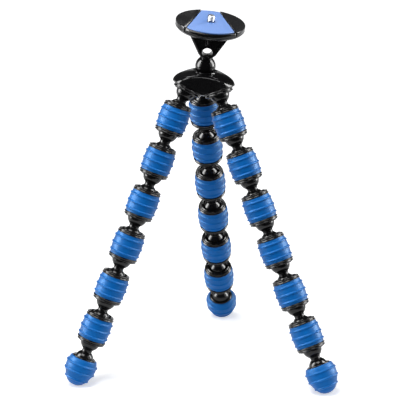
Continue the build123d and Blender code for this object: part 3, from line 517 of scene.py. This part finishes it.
def ribRows():
    number, whole = "NodeSocketFloat", "NodeSocketInt"
    tree, start, end = newGroup(
        "ribRows",
        "GeometryNodeTree",
        [("Geometry", "NodeSocketGeometry", None), ("Top", number, 0.0), ("First", number, 0.004),
         ("Pitch", number, 0.0067), ("Count", whole, 3), ("Proud", number, 0.00095),
         ("Upper", number, 0.0014), ("Lower", number, 0.0009), ("Edge", number, 0.0004),
         ("Skin", number, 0.0115), ("Wander", number, 0.00004), ("Seed", whole, 1),
         ("Material", "NodeSocketMaterial", None)],
        [("Geometry", "NodeSocketGeometry")],
    )
    nodes, links = tree.nodes, tree.links
    where = nodes.new("GeometryNodeInputPosition")
    split = nodes.new("ShaderNodeSeparateXYZ")
    links.new(where.outputs[0], split.inputs[0])
    squares = [calc(tree, "MULTIPLY", split.outputs[side], split.outputs[side]) for side in (0, 1)]
    radius = calc(tree, "SQRT", calc(tree, "ADD", *squares))
    belowTop = calc(tree, "SUBTRACT", start.outputs["Top"], split.outputs[2])
    depth = calc(tree, "SUBTRACT", belowTop, start.outputs["First"])
    row = calc(tree, "ROUND", calc(tree, "DIVIDE", depth, start.outputs["Pitch"]))
    lastRow = calc(tree, "SUBTRACT", start.outputs["Count"], 1.0)
    row = calc(tree, "MINIMUM", calc(tree, "MAXIMUM", row, 0.0), lastRow)
    offset = calc(tree, "SUBTRACT", depth, calc(tree, "MULTIPLY", row, start.outputs["Pitch"]))
    half = calc(tree, "MULTIPLY", start.outputs["Edge"], 0.5)

    def flank(fromValue, toValue):
        ramp = nodes.new("ShaderNodeMapRange")
        ramp.interpolation_type = "SMOOTHSTEP"
        links.new(offset, ramp.inputs["Value"])
        links.new(fromValue, ramp.inputs["From Min"])
        links.new(toValue, ramp.inputs["From Max"])
        return ramp.outputs["Result"]

    above = [calc(tree, "MULTIPLY", value, -1.0) for value in (start.outputs["Upper"], half)]
    rise = flank(*above)
    fall = calc(tree, "SUBTRACT", 1.0, flank(half, start.outputs["Lower"]))
    height = calc(tree, "MULTIPLY", calc(tree, "MINIMUM", rise, fall), start.outputs["Proud"])
    noise = nodes.new("ShaderNodeTexNoise")
    noise.noise_dimensions = "4D"
    noise.inputs["Scale"].default_value = ribNoise["scale"]
    place = calc(tree, "MULTIPLY", start.outputs["Seed"], ribNoise["seedStep"])
    links.new(place, noise.inputs["W"])
    swing = calc(tree, "SUBTRACT", noise.outputs[0], ribNoise["level"])
    wander = calc(tree, "MULTIPLY", swing, start.outputs["Wander"])
    push = calc(tree, "DIVIDE", calc(tree, "ADD", height, wander), radius)
    shift = nodes.new("ShaderNodeCombineXYZ")
    links.new(calc(tree, "MULTIPLY", split.outputs[0], push), shift.inputs[0])
    links.new(calc(tree, "MULTIPLY", split.outputs[1], push), shift.inputs[1])
    move = nodes.new("GeometryNodeSetPosition")
    links.new(start.outputs["Geometry"], move.inputs["Geometry"])
    links.new(calc(tree, "GREATER_THAN", radius, start.outputs["Skin"]), move.inputs["Selection"])
    links.new(shift.outputs[0], move.inputs["Offset"])
    real = nodes.new("GeometryNodeRealizeInstances")
    paint = nodes.new("GeometryNodeSetMaterial")
    links.new(move.outputs[0], real.inputs[0])
    links.new(real.outputs[0], paint.inputs["Geometry"])
    links.new(start.outputs["Material"], paint.inputs["Material"])
    links.new(paint.outputs[0], end.inputs[0])
    return tree


# Screws set out on a circle, each turned to where its driver happened to leave it

def screwRing():
    number, whole = "NodeSocketFloat", "NodeSocketInt"
    tree, start, end = newGroup(
        "screwRing",
        "GeometryNodeTree",
        [("Geometry", "NodeSocketGeometry", None), ("Count", whole, 3),
         ("Circle Radius", number, 0.01), ("First Angle", number, 0.0), ("Seed", whole, 4),
         ("Material", "NodeSocketMaterial", None)],
        [("Geometry", "NodeSocketGeometry")],
    )
    nodes, links = tree.nodes, tree.links
    dots = nodes.new("GeometryNodePoints")
    links.new(start.outputs["Count"], dots.inputs["Count"])
    index = nodes.new("GeometryNodeInputIndex")
    share = calc(tree, "DIVIDE", index.outputs[0], start.outputs["Count"])
    angle = calc(tree, "ADD", calc(tree, "MULTIPLY", share, 2 * pi), start.outputs["First Angle"])
    at = nodes.new("ShaderNodeCombineXYZ")
    for side, wave in enumerate(("COSINE", "SINE")):
        along = calc(tree, "MULTIPLY", calc(tree, wave, angle), start.outputs["Circle Radius"])
        links.new(along, at.inputs[side])
    links.new(at.outputs[0], dots.inputs["Position"])
    spin = nodes.new("FunctionNodeRandomValue")
    spin.data_type = "FLOAT"
    spin.inputs[3].default_value = 2 * pi
    links.new(start.outputs["Seed"], spin.inputs["Seed"])
    turn = nodes.new("ShaderNodeCombineXYZ")
    links.new(spin.outputs[1], turn.inputs[2])
    copies = nodes.new("GeometryNodeInstanceOnPoints")
    links.new(dots.outputs[0], copies.inputs["Points"])
    links.new(start.outputs["Geometry"], copies.inputs["Instance"])
    links.new(turn.outputs[0], copies.inputs["Rotation"])
    real = nodes.new("GeometryNodeRealizeInstances")
    paint = nodes.new("GeometryNodeSetMaterial")
    links.new(copies.outputs[0], real.inputs[0])
    links.new(real.outputs[0], paint.inputs["Geometry"])
    links.new(start.outputs["Material"], paint.inputs["Material"])
    links.new(paint.outputs[0], end.inputs[0])
    return tree


ribTree = ribRows()
screwTree = screwRing()


# Leg links: socket, spool, flange, bowl, neck and ball, all turned about one axis

link = {"ball": 8.6, "play": 0.05, "lipRise": 2.2, "depth": 4.0, "neck": 4.5, "shank": 17.0,
        "length": 26.3, "rim": 12.0, "rimHeight": 2.4, "mouth": 9.9, "throat": 9.3, "core": 10.8,
        "flange": 12.4, "flangeHeight": 2.6, "recess": 0.9, "edge": 0.8, "crisp": 0.25,
        "bowlFillet": 2.0, "ballFillet": 0.8, "filletSteps": 8}
spigot = {"radius": 4.0, "length": 5.0}


def ballEnd(bowlHeight):
    # from the flange's lower face round the bowl, neck and ball to the axis
    ball, neck, recess = link["ball"], link["neck"], link["recess"]
    ballHeight = bowlHeight - link["shank"]
    inner = sqrt(ball**2 - recess**2)

    def waist(sphereHeight, side, fillet):
        # the sphere's angle where a fillet leaves it, and the fillet's points on to the neck
        out = neck + fillet
        up = sphereHeight + side * sqrt((ball + fillet) ** 2 - out**2)
        leave = atan2(up - sphereHeight, out)
        first, steps = leave + side * pi, link["filletSteps"]
        turns = [first + (side * pi - first) * step / steps for step in range(steps + 1)]
        return degrees(leave), [(out + fillet * cos(t), up + fillet * sin(t)) for t in turns]

    low, lowFillet = waist(bowlHeight, -1, link["bowlFillet"])
    high, highFillet = waist(ballHeight, 1, link["ballFillet"])
    path = roundedPath([
        (link["flange"], bowlHeight + link["flangeHeight"]),
        (link["flange"], bowlHeight, link["edge"]),
        (link["flange"] - link["edge"] - recess, bowlHeight, 0.15),
        (inner + recess, bowlHeight + recess, 0.15),
        (inner, bowlHeight + recess),
    ])[1:]
    path += arcPoints(ball, bowlHeight, degrees(asin(recess / ball)), low)[1:-1] + lowFillet
    path += highFillet[::-1] + arcPoints(ball, ballHeight, high, -90)[1:]
    return path[:-1] + [(0, ballHeight - ball)]


def socketArc():
    # from the pole, where the first ring stands 5 degrees off, up to the lip
    hollow = link["ball"] + link["play"]
    lip = degrees(asin(link["lipRise"] / hollow))
    return [(0, -hollow)] + arcPoints(hollow, 0, -85, lip)


def coreMesh():
    rimTop = link["depth"]
    flangeTop = link["depth"] - link["length"] + link["flangeHeight"]
    lipRadius = sqrt((link["ball"] + link["play"]) ** 2 - link["lipRise"] ** 2)
    rim = roundedPath([
        (lipRadius, link["lipRise"]),
        (link["throat"], link["lipRise"], 0.1),
        (link["mouth"], rimTop, link["crisp"]),
        (link["rim"], rimTop, link["edge"]),
        (link["rim"], rimTop - link["rimHeight"], link["crisp"]),
        (link["core"], rimTop - link["rimHeight"]),
        (link["core"], flangeTop),
        (link["flange"], flangeTop, link["crisp"]),
        (link["flange"], flangeTop - link["flangeHeight"] / 2),
    ])[1:-1]
    return latheMesh("core", socketArc() + rim + ballEnd(flangeTop - link["flangeHeight"]))


def studMesh():
    top = link["flangeHeight"]
    path = roundedPath([
        (0, top + spigot["length"]),
        (spigot["radius"], top + spigot["length"], link["crisp"]),
        (spigot["radius"], top, 0.1),
        (link["flange"], top, link["crisp"]),
        (link["flange"], top / 2),
    ])[:-1]
    return latheMesh("stud", path + ballEnd(0))


# softEnd is (how far the end draws in, over which length)
sleeve = {"top": 1.55, "bottom": -19.65, "bore": 10.85, "topRadius": 11.9, "middleRadius": 13.15,
          "bottomRadius": 12.1, "firstRib": 4.3, "ribPitch": 6.7, "ribs": 3, "proud": 0.95,
          "skin": 0.3, "rows": 96, "softEnd": (0.35, 0.45)}


def sleeveMesh():
    high, low = sleeve["top"], sleeve["bottom"]
    middle = (high + low) / 2
    rows, (drawIn, over) = sleeve["rows"], sleeve["softEnd"]
    barrel = []
    for row in range(rows + 1):
        height = high + (low - high) * row / rows
        sag = ((height - middle) / (high - middle)) ** 2
        end = sleeve["topRadius"] if height > middle else sleeve["bottomRadius"]
        nearEnd = min(high - height, height - low)
        soft = drawIn * max(0.0, 1 - nearEnd / over) ** 2
        radius = sleeve["middleRadius"] - sag * (sleeve["middleRadius"] - end) - soft
        barrel.append((radius, height))
    path = [(sleeve["bore"], high)] + barrel + [(sleeve["bore"], low)]
    return latheMesh("sleeve", path, closed=True)


foot = {"top": 1.3, "shoulder": 10.3, "coreLength": 15.0, "coreEnd": 6.4, "edgeRadius": 11.7,
        "belly": 13.6, "bellyDrop": 6.0, "tipDrop": 13.2, "tip": 11.1, "join": 50.0,
        "firstRib": 3.9, "ribPitch": 7.15, "skin": 7.5, "rows": 100, "softEnd": (0.4, 0.5),
        "seedStep": 50}


def footCoreMesh():
    lipRadius = sqrt((link["ball"] + link["play"]) ** 2 - link["lipRise"] ** 2)
    path = socketArc() + roundedPath([
        (lipRadius, link["lipRise"]),
        (foot["shoulder"], link["lipRise"], link["edge"]),
        (foot["shoulder"], -foot["bellyDrop"], 0.3),
        (foot["coreEnd"], -foot["coreLength"], 0.5),
        (0, -foot["coreLength"]),
    ])[1:]
    return latheMesh("footCore", path)


def capRadius(drop):
    # the egg's side, before its round tip takes over
    if drop < foot["bellyDrop"]:
        share = (foot["bellyDrop"] - drop) / (foot["bellyDrop"] + foot["top"])
        return foot["belly"] - (foot["belly"] - foot["edgeRadius"]) * share**2
    share = (drop - foot["bellyDrop"]) / (foot["tipDrop"] + foot["tip"] - foot["bellyDrop"])
    return foot["belly"] * sqrt(max(0.0, 1 - share**2))


def footCapMesh():
    tipJoin = foot["tipDrop"] + foot["tip"] * sin(radians(foot["join"]))
    fit = foot["shoulder"] + link["play"]
    rows, (drawIn, over) = foot["rows"], foot["softEnd"]
    flank = []
    for row in range(rows + 1):
        drop = -foot["top"] + (tipJoin + foot["top"]) * row / rows
        soft = drawIn * max(0.0, 1 - (drop + foot["top"]) / over) ** 2
        blend = max(0.0, min(1.0, (drop - foot["bellyDrop"]) / (tipJoin - foot["bellyDrop"])))
        radius = capRadius(drop)
        if drop > foot["tipDrop"]:
            tipRadius = sqrt(max(0.0, foot["tip"] ** 2 - (drop - foot["tipDrop"]) ** 2))
            radius += (tipRadius - radius) * blend**2
        flank.append((radius - soft, -drop))
    seat = -foot["coreLength"] - link["play"]
    inside = [(0, seat), (foot["coreEnd"] + link["play"], seat), (fit, -foot["bellyDrop"]),
              (fit, foot["top"])]
    tip = arcPoints(foot["tip"], -foot["tipDrop"], -foot["join"], -90, 3)[1:-1]
    return latheMesh("footCap", inside + flank + tip + [(0, -foot["tipDrop"] - foot["tip"])])


def addLegs():
    core, ring, footCore, cap = coreMesh(), sleeveMesh(), footCoreMesh(), footCapMesh()
    stud = studMesh()
    ribs = {"Count": sleeve["ribs"], "Proud": sleeve["proud"] * mm,
            "Material": materials["sleeveBlue"]}
    seed = 0
    for leg in legNames:
        for number, place in enumerate(places[leg][:-1], start=1):
            seed += 1
            body = f"{leg}_segment_{number}"
            spool = placed(f"{leg}Core{number}", core, place)
            finishPiece(spool, "chainBlack", body, f"{leg}_leg_core_{number}")
            rubber = asObject(f"{leg}Sleeve{number}", ring.copy())
            throughTree(rubber, ribTree, Top=sleeve["top"] * mm, First=sleeve["firstRib"] * mm,
                        Pitch=sleeve["ribPitch"] * mm, Seed=seed,
                        Skin=(sleeve["bore"] + sleeve["skin"]) * mm, **ribs)
            rubber.data.transform(place)
            finishPiece(rubber, "sleeveBlue", body, f"{leg}_leg_sleeve_{number}")
        body, place = f"{leg}_foot", places[leg][-1]
        inner = placed(f"{leg}FootCore", footCore, place)
        finishPiece(inner, "chainBlack", body, f"{leg}_foot_core")
        rubber = asObject(f"{leg}FootCap", cap.copy())
        throughTree(rubber, ribTree, Top=0.0, First=foot["firstRib"] * mm,
                    Pitch=foot["ribPitch"] * mm, Seed=seed + foot["seedStep"],
                    Skin=foot["skin"] * mm, **ribs)
        rubber.data.transform(place)
        finishPiece(rubber, "sleeveBlue", body, f"{leg}_foot_cap")
        mount = placed(f"{leg}Stud", stud, studPlace(leg))
        finishPiece(mount, "chainBlack", "hub", f"{leg}_leg_stud")


studs = {"splay": 27.0, "spread": 24.5}


def studPlace(leg):
    out = (hips[leg] - hubCentre).normalized()
    splay = radians(studs["splay"])
    up = hubPlace.to_3x3() @ Vector((0, 0, cos(splay))) - out * sin(splay)
    return placeFrom(hips[leg] + up * link["shank"] * mm, up, hubUp.cross(out))


addLegs()
print("stage: legs")


# Hub body: a smooth meeting of dome, lobes, hollow flanks and the seats of the studs

# crown, shoulder, lobeRound and flank are radii; waistTop and waistLow are (radius, height) where
# a flank is deepest; the soft values are how wide two surfaces melt together; recess is the head
# ball's opening, in (radius, height, rounding)
hub = {"top": 33.39, "crown": 78.0, "shoulderStart": 21.0, "shoulder": 14.0, "lobe": 30.0,
       "lobeRound": 12.0, "lobeFrom": 0.98, "waistTop": (17.8, 30.5), "waistLow": (17.2, 15.0),
       "flank": 42.0, "bottom": 14.5, "seatRise": 2.7, "soft": 1.8, "softFlank": 3.2,
       "softEdge": 1.3, "shrink": 0.02,
       "recess": [(5.2, 27.85), (8.85, 27.85, 0.2), (8.85, 31.2, 0.1), (10.1, 31.2, 0.1),
                  (10.1, 31.95, 0.25), (10.85, 32.65, 0.25), (13.0, 32.35)],
       "columns": 288, "rows": 150, "core": 24.0, "reach": 60.0, "halvings": 40}
flankTurns, lobeTurns = (30, 150, 270), (90, 210, 330)


def outward(x, y, turn):
    # how far out a point lies towards a turn about the hub's axis, in degrees
    return x * cos(radians(turn)) + y * sin(radians(turn))


def softMax(one, two, width):
    near = np.maximum(width - np.abs(one - two), 0) / width
    return np.maximum(one, two) + near * near * width / 4


def hubDistance(x, y, z):
    # below zero inside the hub body
    radius = np.hypot(x, y)
    leaning = asin(hub["shoulderStart"] / hub["crown"])
    crownHeight = hub["top"] - hub["crown"]
    crown = np.hypot(radius, z - crownHeight) - hub["crown"]
    centre = (hub["shoulderStart"] - hub["shoulder"] * sin(leaning),
              crownHeight + (hub["crown"] - hub["shoulder"]) * cos(leaning))
    shoulder = np.hypot(radius - centre[0], z - centre[1]) - hub["shoulder"]
    past = (radius - centre[0]) * cos(leaning) - (z - centre[1]) * sin(leaning) > 0
    dome = np.where(past & (radius > centre[0]), shoulder, crown)
    # plan: rounded triangle with a lobe over each leg
    inset = hub["lobe"] - hub["lobeRound"]
    plan = np.maximum.reduce([outward(x, y, turn) - inset / 2 for turn in flankTurns])
    for turn in lobeTurns:
        tip = np.hypot(x - inset * cos(radians(turn)), y - inset * sin(radians(turn)))
        plan = np.where(outward(x, y, turn) > inset * hub["lobeFrom"], tip, plan)
    solid = softMax(dome, plan - hub["lobeRound"], hub["soft"])
    (highR, highZ), (lowR, lowZ) = hub["waistTop"], hub["waistLow"]
    slope = Vector((lowR - highR, lowZ - highZ)).normalized()
    away = Vector((-slope[1], slope[0]))
    axisAt = Vector(((highR + lowR) / 2, (highZ + lowZ) / 2)) + away * hub["flank"]
    for turn in flankTurns:
        out = outward(x, y, turn)
        side = -x * sin(radians(turn)) + y * cos(radians(turn))
        across = (out - axisAt[0]) * away[0] + (z - axisAt[1]) * away[1]
        solid = softMax(solid, hub["flank"] - np.hypot(across, side), hub["softFlank"])
    splay = radians(studs["splay"])
    for turn in lobeTurns:
        out = outward(x, y, turn) - studs["spread"]
        rise = -out * sin(splay) + z * cos(splay) - link["shank"] - hub["seatRise"]
        solid = softMax(solid, -rise, hub["softEdge"])
    return softMax(solid, hub["bottom"] - z, hub["softEdge"]) + hub["shrink"]


def hubMesh():
    # rings of the recess from the middle out, then the outside, found along rays from the core
    recess = roundedPath(hub["recess"])[:-1]
    columns, core = hub["columns"], hub["core"]
    begin = atan2(recess[-1][1] - core, recess[-1][0])
    turns = 2 * pi * np.arange(columns) / columns
    rises = np.linspace(begin, -pi / 2, hub["rows"] + 1)[1:-1]
    turn, rise = np.meshgrid(turns, rises)
    ray = np.stack([np.cos(rise) * np.cos(turn), np.cos(rise) * np.sin(turn), np.sin(rise)])
    low, high = np.zeros_like(turn), np.full_like(turn, hub["reach"])
    for _ in range(hub["halvings"]):
        middle = (low + high) / 2
        inside = hubDistance(*(ray[:2] * middle), ray[2] * middle + core) < 0
        low, high = np.where(inside, middle, low), np.where(inside, high, middle)
    outside = np.stack([*(ray[:2] * low), ray[2] * low + core], axis=-1)
    points = [(r * cos(t), r * sin(t), z) for r, z in recess for t in turns]
    points += [tuple(point) for ring in outside for point in ring]
    bottom, top = len(points), len(points) + 1
    points += [(0, 0, hub["bottom"]), (0, 0, recess[0][1])]
    last = (len(recess) + len(rises) - 1) * columns
    sides = [(c, (c + 1) % columns) for c in range(columns)]
    faces = [(ring + c, ring + columns + c, ring + columns + after, ring + after)
             for ring in range(0, last, columns) for c, after in sides]
    faces += [(top, c, after) for c, after in sides]
    faces += [(last + c, bottom, last + after) for c, after in sides]
    mesh = bpy.data.meshes.new("hubBody")
    mesh.from_pydata([tuple(value * mm for value in point) for point in points], [], faces)
    mesh.shade_smooth()
    return mesh


def addHub():
    piece = placed("hubBody", hubMesh(), hubPlace)
    finishPiece(piece, "blackPlastic", "hub", "hub_body")


addHub()
print("stage: hub")


# Pieces with flat faces: the CAD form, merged, with its edges rounded as a mould or cutter leaves
# them; angles are in degrees

edges = {"merge": 2e-6, "flat": 0.3, "from": 28, "segments": 2}


def roundedCopy(name, node, width):
    mesh = frame["nodes"][node].data.copy()
    mesh.name = name
    shape = bmesh.new()
    shape.from_mesh(mesh)
    bmesh.ops.remove_doubles(shape, verts=shape.verts, dist=edges["merge"])
    bmesh.ops.dissolve_limit(shape, angle_limit=radians(edges["flat"]), verts=shape.verts,
                             edges=shape.edges)
    shape.to_mesh(mesh)
    shape.free()
    mesh.shade_smooth()
    piece = asObject(name, mesh)
    bevel = piece.modifiers.new("edges", "BEVEL")
    bevel.width = width * mm
    bevel.segments = edges["segments"]
    bevel.limit_method = "ANGLE"
    bevel.angle_limit = radians(edges["from"])
    bevel.harden_normals = True
    bevel.use_clamp_overlap = True
    return applied(piece)


# CAD node, rounding, finish and body
flatPieces = {
    "headStem": ("head_stem", 0.5, "blackPlastic", "head"),
    "plateBase": ("plate_base", 0.4, "wingBlack", "head"),
    "quickPlate": ("quick_release_plate", 0.25, "blackPlastic", "quick_release"),
    "platePad": ("plate_pad", 0.2, "padBlue", "quick_release"),
    "plateLock": ("plate_lock", 0.2, "blackPlastic", "plate_lock"),
    "hubBasePlate": ("hub_base_plate", 0.2, "chainBlack", "hub"),
}
padTrim = {"from": 8.0, "back": 1.5}


def trimmedPad(pad):
    # the rubber stops short of the plate's rim at the back
    toHead = headPlace.inverted()
    shift = headPlace.to_3x3() @ Vector((0, -padTrim["back"] * mm, 0))
    for vertex in pad.data.vertices:
        if (toHead @ vertex.co).y > padTrim["from"] * mm:
            vertex.co += shift


for pieceName, (node, rounding, finish, body) in flatPieces.items():
    copied = roundedCopy(pieceName, node, rounding)
    if node == "plate_pad":
        trimmedPad(copied)
    finishPiece(copied, finish, body, node)
print("stage: head pieces", ", ".join(flatPieces))


# Screws: countersunk heads with a cross recess, and the camera's quarter-inch screw and thread

fixing = {"head": 2.8, "shank": 1.4, "length": 7.0, "edge": 0.12, "cross": 2.7, "crossWidth": 0.62,
          "crossDepth": 1.1, "spacing": 24.0, "floor": 36.3, "below": 0.05, "circle": 10.9,
          "seeds": (11, 12)}
thread = {"radius": 3.175, "pitch": 1.27, "depth": 0.5, "crest": 0.16, "root": 0.14,
          "rowStep": 0.055, "neck": 2.6, "headRadius": 5.8, "headHeight": 1.7, "edge": 0.3,
          "slot": 1.5, "slotDepth": 1.0, "chamfer": 0.7, "low": 36.46, "threadLow": 41.41,
          "top": 46.75}
crispAngle = 32  # degrees; a cut's edges past this stay sharp


def boxMesh(name, low, high):
    box = bmesh.new()
    bmesh.ops.create_cube(box, size=1)
    for vertex in box.verts:
        for axis in range(3):
            vertex.co[axis] = (low, high)[vertex.co[axis] > 0][axis] * mm
    mesh = bpy.data.meshes.new(name)
    box.to_mesh(mesh)
    box.free()
    return mesh


def carved(piece, cutters):
    # takes each cutter's shape out of the piece, and keeps the cut's edges crisp
    tools = [asObject(cutter.name, cutter) for cutter in cutters]
    for tool in tools:
        cut = piece.modifiers.new(tool.name, "BOOLEAN")
        cut.object = tool
        cut.solver = "EXACT"
    applied(piece)
    for tool in tools:
        bpy.data.objects.remove(tool)
    piece.data.set_sharp_from_angle(angle=radians(crispAngle))
    return piece


def fixingScrew(name):
    path = roundedPath([
        (0, 0),
        (fixing["head"], 0, fixing["edge"]),
        (fixing["shank"], fixing["shank"] - fixing["head"], 0.1),
        (fixing["shank"], -fixing["length"], 0.2),
        (0, -fixing["length"]),
    ])
    half, width, deep = fixing["cross"] / 2, fixing["crossWidth"] / 2, fixing["crossDepth"]
    cutters = [boxMesh("crossOne", (-half, -width, -deep), (half, width, deep)),
               boxMesh("crossTwo", (-width, -half, -deep), (width, half, deep))]
    return carved(asObject(name, latheMesh(name, path, segments=48)), cutters)


def threadRadius(height, share):
    # radius of the thread at a height, a share of a turn round
    phase = (height - thread["threadLow"]) / thread["pitch"] - share
    phase = (phase - floor(phase)) * thread["pitch"]
    flank = (thread["pitch"] - thread["crest"] - thread["root"]) / 2
    away = abs(phase - thread["pitch"] / 2) - thread["crest"] / 2
    rise = 1 - max(0.0, min(1.0, away / flank))
    full = thread["radius"] - thread["depth"] * (1 - rise)
    runOut = min(1.0, (height - thread["threadLow"]) / thread["pitch"])
    full = thread["neck"] + (full - thread["neck"]) * runOut
    return min(full, thread["radius"] - thread["chamfer"] + thread["top"] - height)


def cameraScrewMesh(segments=72):
    head = roundedPath([
        (0, thread["low"]),
        (thread["headRadius"], thread["low"], thread["edge"]),
        (thread["headRadius"], thread["low"] + thread["headHeight"], thread["edge"]),
        (thread["neck"], thread["low"] + thread["headHeight"], 0.15),
        (thread["neck"], thread["threadLow"]),
    ])
    mesh = latheMesh("cameraScrew", head, segments)
    shape = bmesh.new()
    shape.from_mesh(mesh)
    shape.verts.ensure_lookup_table()
    rows = ceil((thread["top"] - thread["threadLow"]) / thread["rowStep"])
    below = list(shape.verts)[-segments:]
    for row in range(1, rows + 1):
        height = thread["threadLow"] + (thread["top"] - thread["threadLow"]) * row / rows
        ring = []
        for turn in range(segments):
            angle = 2 * pi * turn / segments
            radius = threadRadius(height, turn / segments) * mm
            ring.append(shape.verts.new((radius * cos(angle), radius * sin(angle), height * mm)))
        for turn in range(segments):
            after = (turn + 1) % segments
            shape.faces.new((below[turn], below[after], ring[after], ring[turn]))
        below = ring
    middle = shape.verts.new((0, 0, thread["top"] * mm))
    for turn in range(segments):
        shape.faces.new((below[turn], below[(turn + 1) % segments], middle))
    bmesh.ops.recalc_face_normals(shape, faces=shape.faces)
    shape.to_mesh(mesh)
    shape.free()
    mesh.shade_smooth()
    return mesh


def addScrews():
    upward = Matrix.Translation((0, 0, (fixing["floor"] - fixing["below"]) * mm))
    pair = fixingScrew("stemScrews")
    throughTree(pair, screwTree, **{"Circle Radius": fixing["spacing"] / 2 * mm}, Count=2,
                Seed=fixing["seeds"][0], Material=materials["zincSteel"])
    pair.data.transform(headPlace @ upward)
    finishPiece(pair, "zincSteel", "head", "stem_screws")
    downward = Matrix.Translation((0, 0, hub["bottom"] * mm)) @ Matrix.Rotation(pi, 4, "X")
    trio = fixingScrew("hubScrews")
    throughTree(trio, screwTree, **{"Circle Radius": fixing["circle"] * mm, "First Angle": pi / 2},
                Count=3, Seed=fixing["seeds"][1], Material=materials["zincSteel"])
    trio.data.transform(hubPlace @ downward)
    finishPiece(trio, "zincSteel", "hub", "hub_screws")
    reach, half = thread["headRadius"] * 1.1, thread["slot"] / 2  # the cutter passes the head's rim
    slot = boxMesh("coinSlot", (-reach, -half, thread["low"] - 1),
                   (reach, half, thread["low"] + thread["slotDepth"]))
    screw = carved(asObject("cameraScrew", cameraScrewMesh()), [slot])
    screw.data.transform(headPlace)
    finishPiece(screw, "zincSteel", "camera_screw", "camera_screw")


addScrews()
print("stage: screws")


# Inner pieces keep their CAD form and get their finish

innerFinishes = {"ball_seat": "seatGrey", "pressure_cup": "zincSteel", "disc_spring": "zincSteel",
                 "tension_screw": "zincSteel"}
for node, finish in innerFinishes.items():
    inner = frame["nodes"][node]
    inner.data.materials.clear()
    inner.data.materials.append(materials[finish])
print("stage: inner pieces", len(innerFinishes))
